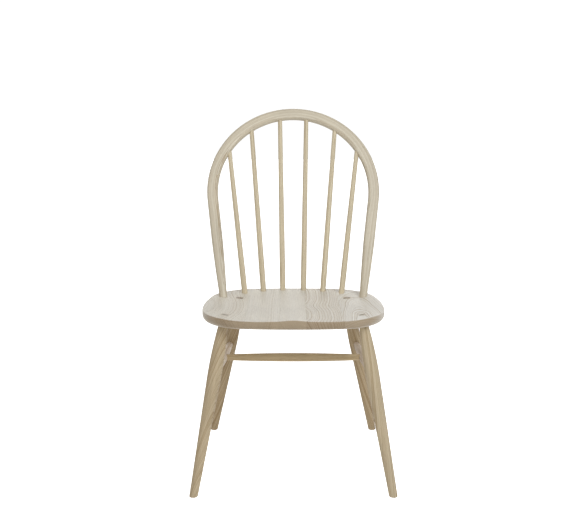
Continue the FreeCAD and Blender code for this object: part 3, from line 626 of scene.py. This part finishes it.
# Each line is a piece, its roll in degrees, its pith, the strength of its figure and its tone.
ROUND_WORK = [
    ("leg_front_left", 90, (0.020, -0.070, 0.20), 0.9, (0.83, 0.79, 0.71, 1)),
    ("leg_front_right", 70, (0.010, 0.080, 0.06), 1.2, (0.90, 0.885, 0.825, 1)),
    ("leg_rear_left", 80, (0.015, 0.060, -0.20), 2.2, REAR_LEG_TONE),
    ("leg_rear_right", 100, (-0.020, 0.095, 0.10), 2.0, REAR_LEG_TONE),
    # The left side stretcher's pale tone is painted light.
    ("side_stretcher_left", 0, (0.064, 0.027, 0.02), 0.8, (1.34, 1.39, 1.62, 1)),
    ("side_stretcher_right", 0, (-0.070, 0.097, 0.02), 0.8, (0.97, 0.96, 1.06, 1)),
    ("cross_stretcher", 0, (0.042, -0.080, 0.02), 0.9, (0.89, 0.825, 0.685, 1)),
]
for name, roll, pith_line, figure, tone in ROUND_WORK:
    cut = {
        "Pith": pith_line, "Ring": ROUND_RING, "Wander": ROUND_WANDER,
        "Figure": figure, "Tone": tone, "End": ROUND_END_AND_TOP_LIGHT,
    }
    finish_piece(name, *turned_by(*along_its_length(name, roll)), cut, shine=ROUND_SHINE)
print("round pieces:", len(ROUND_WORK))

# %% [markdown]
# ## Spindles
#
# Spindles are split rather than sawn, so that the fibres run unbroken from end to end and a rod
# of twelve millimetres doesn't snap. Their grain is almost dead straight. Each one sees the pith
# from another side, by a turn in radians.

# %% Finish the spindles
SPINDLE_TONE = (1.075, 1.10, 1.075, 1)
SPINDLE_TURNS = [0.3, 2.0, 4.1, 1.2, 5.3, 3.3]
SPINDLE_PITH = 0.12
SPINDLE_SHINE = 0.3

for number, turn in enumerate(SPINDLE_TURNS, start=1):
    name = "spindle_%d" % number
    pith_line = (SPINDLE_PITH * math.cos(turn), SPINDLE_PITH * math.sin(turn), 0.0)
    cut = {
        "Pith": pith_line, "Ring": 0.0022, "Wander": 0.003,
        "Figure": 0.8, "Tone": SPINDLE_TONE,
    }
    finish_piece(name, *turned_by(*along_its_length(name)), cut, shine=SPINDLE_SHINE)
print("spindles:", len(SPINDLE_TURNS))

# %% [markdown]
# ## Hoop
#
# The hoop was steamed and bent round a form, and its grain was bent with it. A straight pattern
# would cut across the crown and give the bend away as a sawn one. So the place of a point is
# first unrolled: how far round the hoop it lies, how far out from its middle line, and how far
# to the front. Below the crown's circle the middle line runs straight on, and one formula serves
# both when the part of the way that is still in the circle is allowed to reach zero.

# %% Find the crown's middle
LEAN = math.radians(21.6)
CROWN_RADIUS = 0.224
FLANK_SLOPE = math.radians(6.883)
HALF_FACE = 0.015
HALF_DEPTH = 0.012

up = Vector((0, math.sin(LEAN), math.cos(LEAN)))
face = Vector((0, -math.cos(LEAN), math.sin(LEAN)))
hoop_points = np.array([point.co for point in nodes["hoop"].data.vertices])
crest = (hoop_points @ np.array(up)).max() - HALF_FACE - CROWN_RADIUS
face_level = (hoop_points @ np.array(face)).max() - HALF_DEPTH
crown_middle = up * crest + face * face_level
print("crown's middle in mm:", [round(1000 * step) for step in crown_middle])


# %% Unroll the hoop
def unrolled(tree, spot):
    """Out from the middle line, to the front, and round the hoop."""
    values = {"Vector": spot, "Location": crown_middle, "Rotation": (math.pi / 2 - LEAN, 0, 0)}
    flat = wire(tree, "Mapping", values, vector_type="TEXTURE")
    flat = wire(tree, "SeparateXYZ", {0: flat.outputs[0]})
    side, rise, forward = flat.outputs
    width = work_out(tree, "ABSOLUTE", side)
    out = work_out(
        tree, "MULTIPLY_ADD", width, math.cos(FLANK_SLOPE),
        work_out(tree, "MULTIPLY", rise, -math.sin(FLANK_SLOPE)),
    )
    on = work_out(
        tree, "MULTIPLY_ADD", width, math.sin(FLANK_SLOPE),
        work_out(tree, "MULTIPLY", rise, math.cos(FLANK_SLOPE)),
    )
    bent = work_out(tree, "MAXIMUM", on, 0.0)
    straight = work_out(tree, "MINIMUM", on, 0.0)
    across = work_out(tree, "SUBTRACT", distance(tree, out, bent), CROWN_RADIUS)
    angle = work_out(tree, "ARCTAN2", bent, out)
    round_it = work_out(tree, "MULTIPLY_ADD", angle, CROWN_RADIUS, straight)
    top = CROWN_RADIUS * (math.pi / 2 + FLANK_SLOPE)
    from_top = work_out(tree, "SUBTRACT", top, round_it)
    signed = work_out(tree, "MULTIPLY", from_top, work_out(tree, "SIGN", side))
    return wire(tree, "CombineXYZ", {0: across, 1: forward, 2: signed}).outputs[0]


def plain_facing(tree, normal):
    """The hoop shows no end grain but under the seat, so its facing stays across the grain."""
    return wire(tree, "CombineXYZ", {0: 1.0}).outputs[0]


# %% Finish the hoop
HOOP_CUT = {
    "Pith": (0.05, -0.14, 0.004), "Ring": 0.0027, "Wander": 0.005,
    "Figure": 0.9, "Tone": (1.04, 1.105, 1.185, 1),
}
finish_piece("hoop", unrolled, plain_facing, HOOP_CUT)
print("hoop: %.0f mm round the crown" % (1000 * math.pi * CROWN_RADIUS))

# %% [markdown]
# ## Wedges
#
# A wedge opens the end of a tenon until it grips its hole. The legs' wedges stand aslant to the
# grain of the seat, since one that stood along it could split the board. A wedge is a harder and
# darker timber, and sawn off flush it leaves a short dark line that is all end grain.

# %% Finish the wedges
WEDGE_CUT = {
    "Pith": (0.03, -0.05, 0.0), "Ring": 0.0012, "Wander": 0.002,
    "Figure": 0.9, "Tone": (0.11, 0.11, 0.13, 1), "End": (1.0, 1.0, 1.0, 1),
}
wedge_names = [name for name in nodes if "wedge" in name]
for name in wedge_names:
    finish_piece(name, *turned_by(*along_its_length(name)), WEDGE_CUT)
print("wedges:", len(wedge_names))

# %% [markdown]
# ## Measure and hand over
#
# Looks mustn't change the size of the chair, so the box round everything is measured before and
# after, and the largest change is printed.

# %% Measure the sizes and the change
dressed_low, dressed_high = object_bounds()
sizes = {
    "packed": [list(packed_low), list(packed_high)],
    "dressed": [list(dressed_low), list(dressed_high)],
}
changes = [
    1000 * abs(before - after)
    for pair in zip(sizes["packed"], sizes["dressed"])
    for before, after in zip(*pair)
]
print("largest change in mm: %.3f" % max(changes))
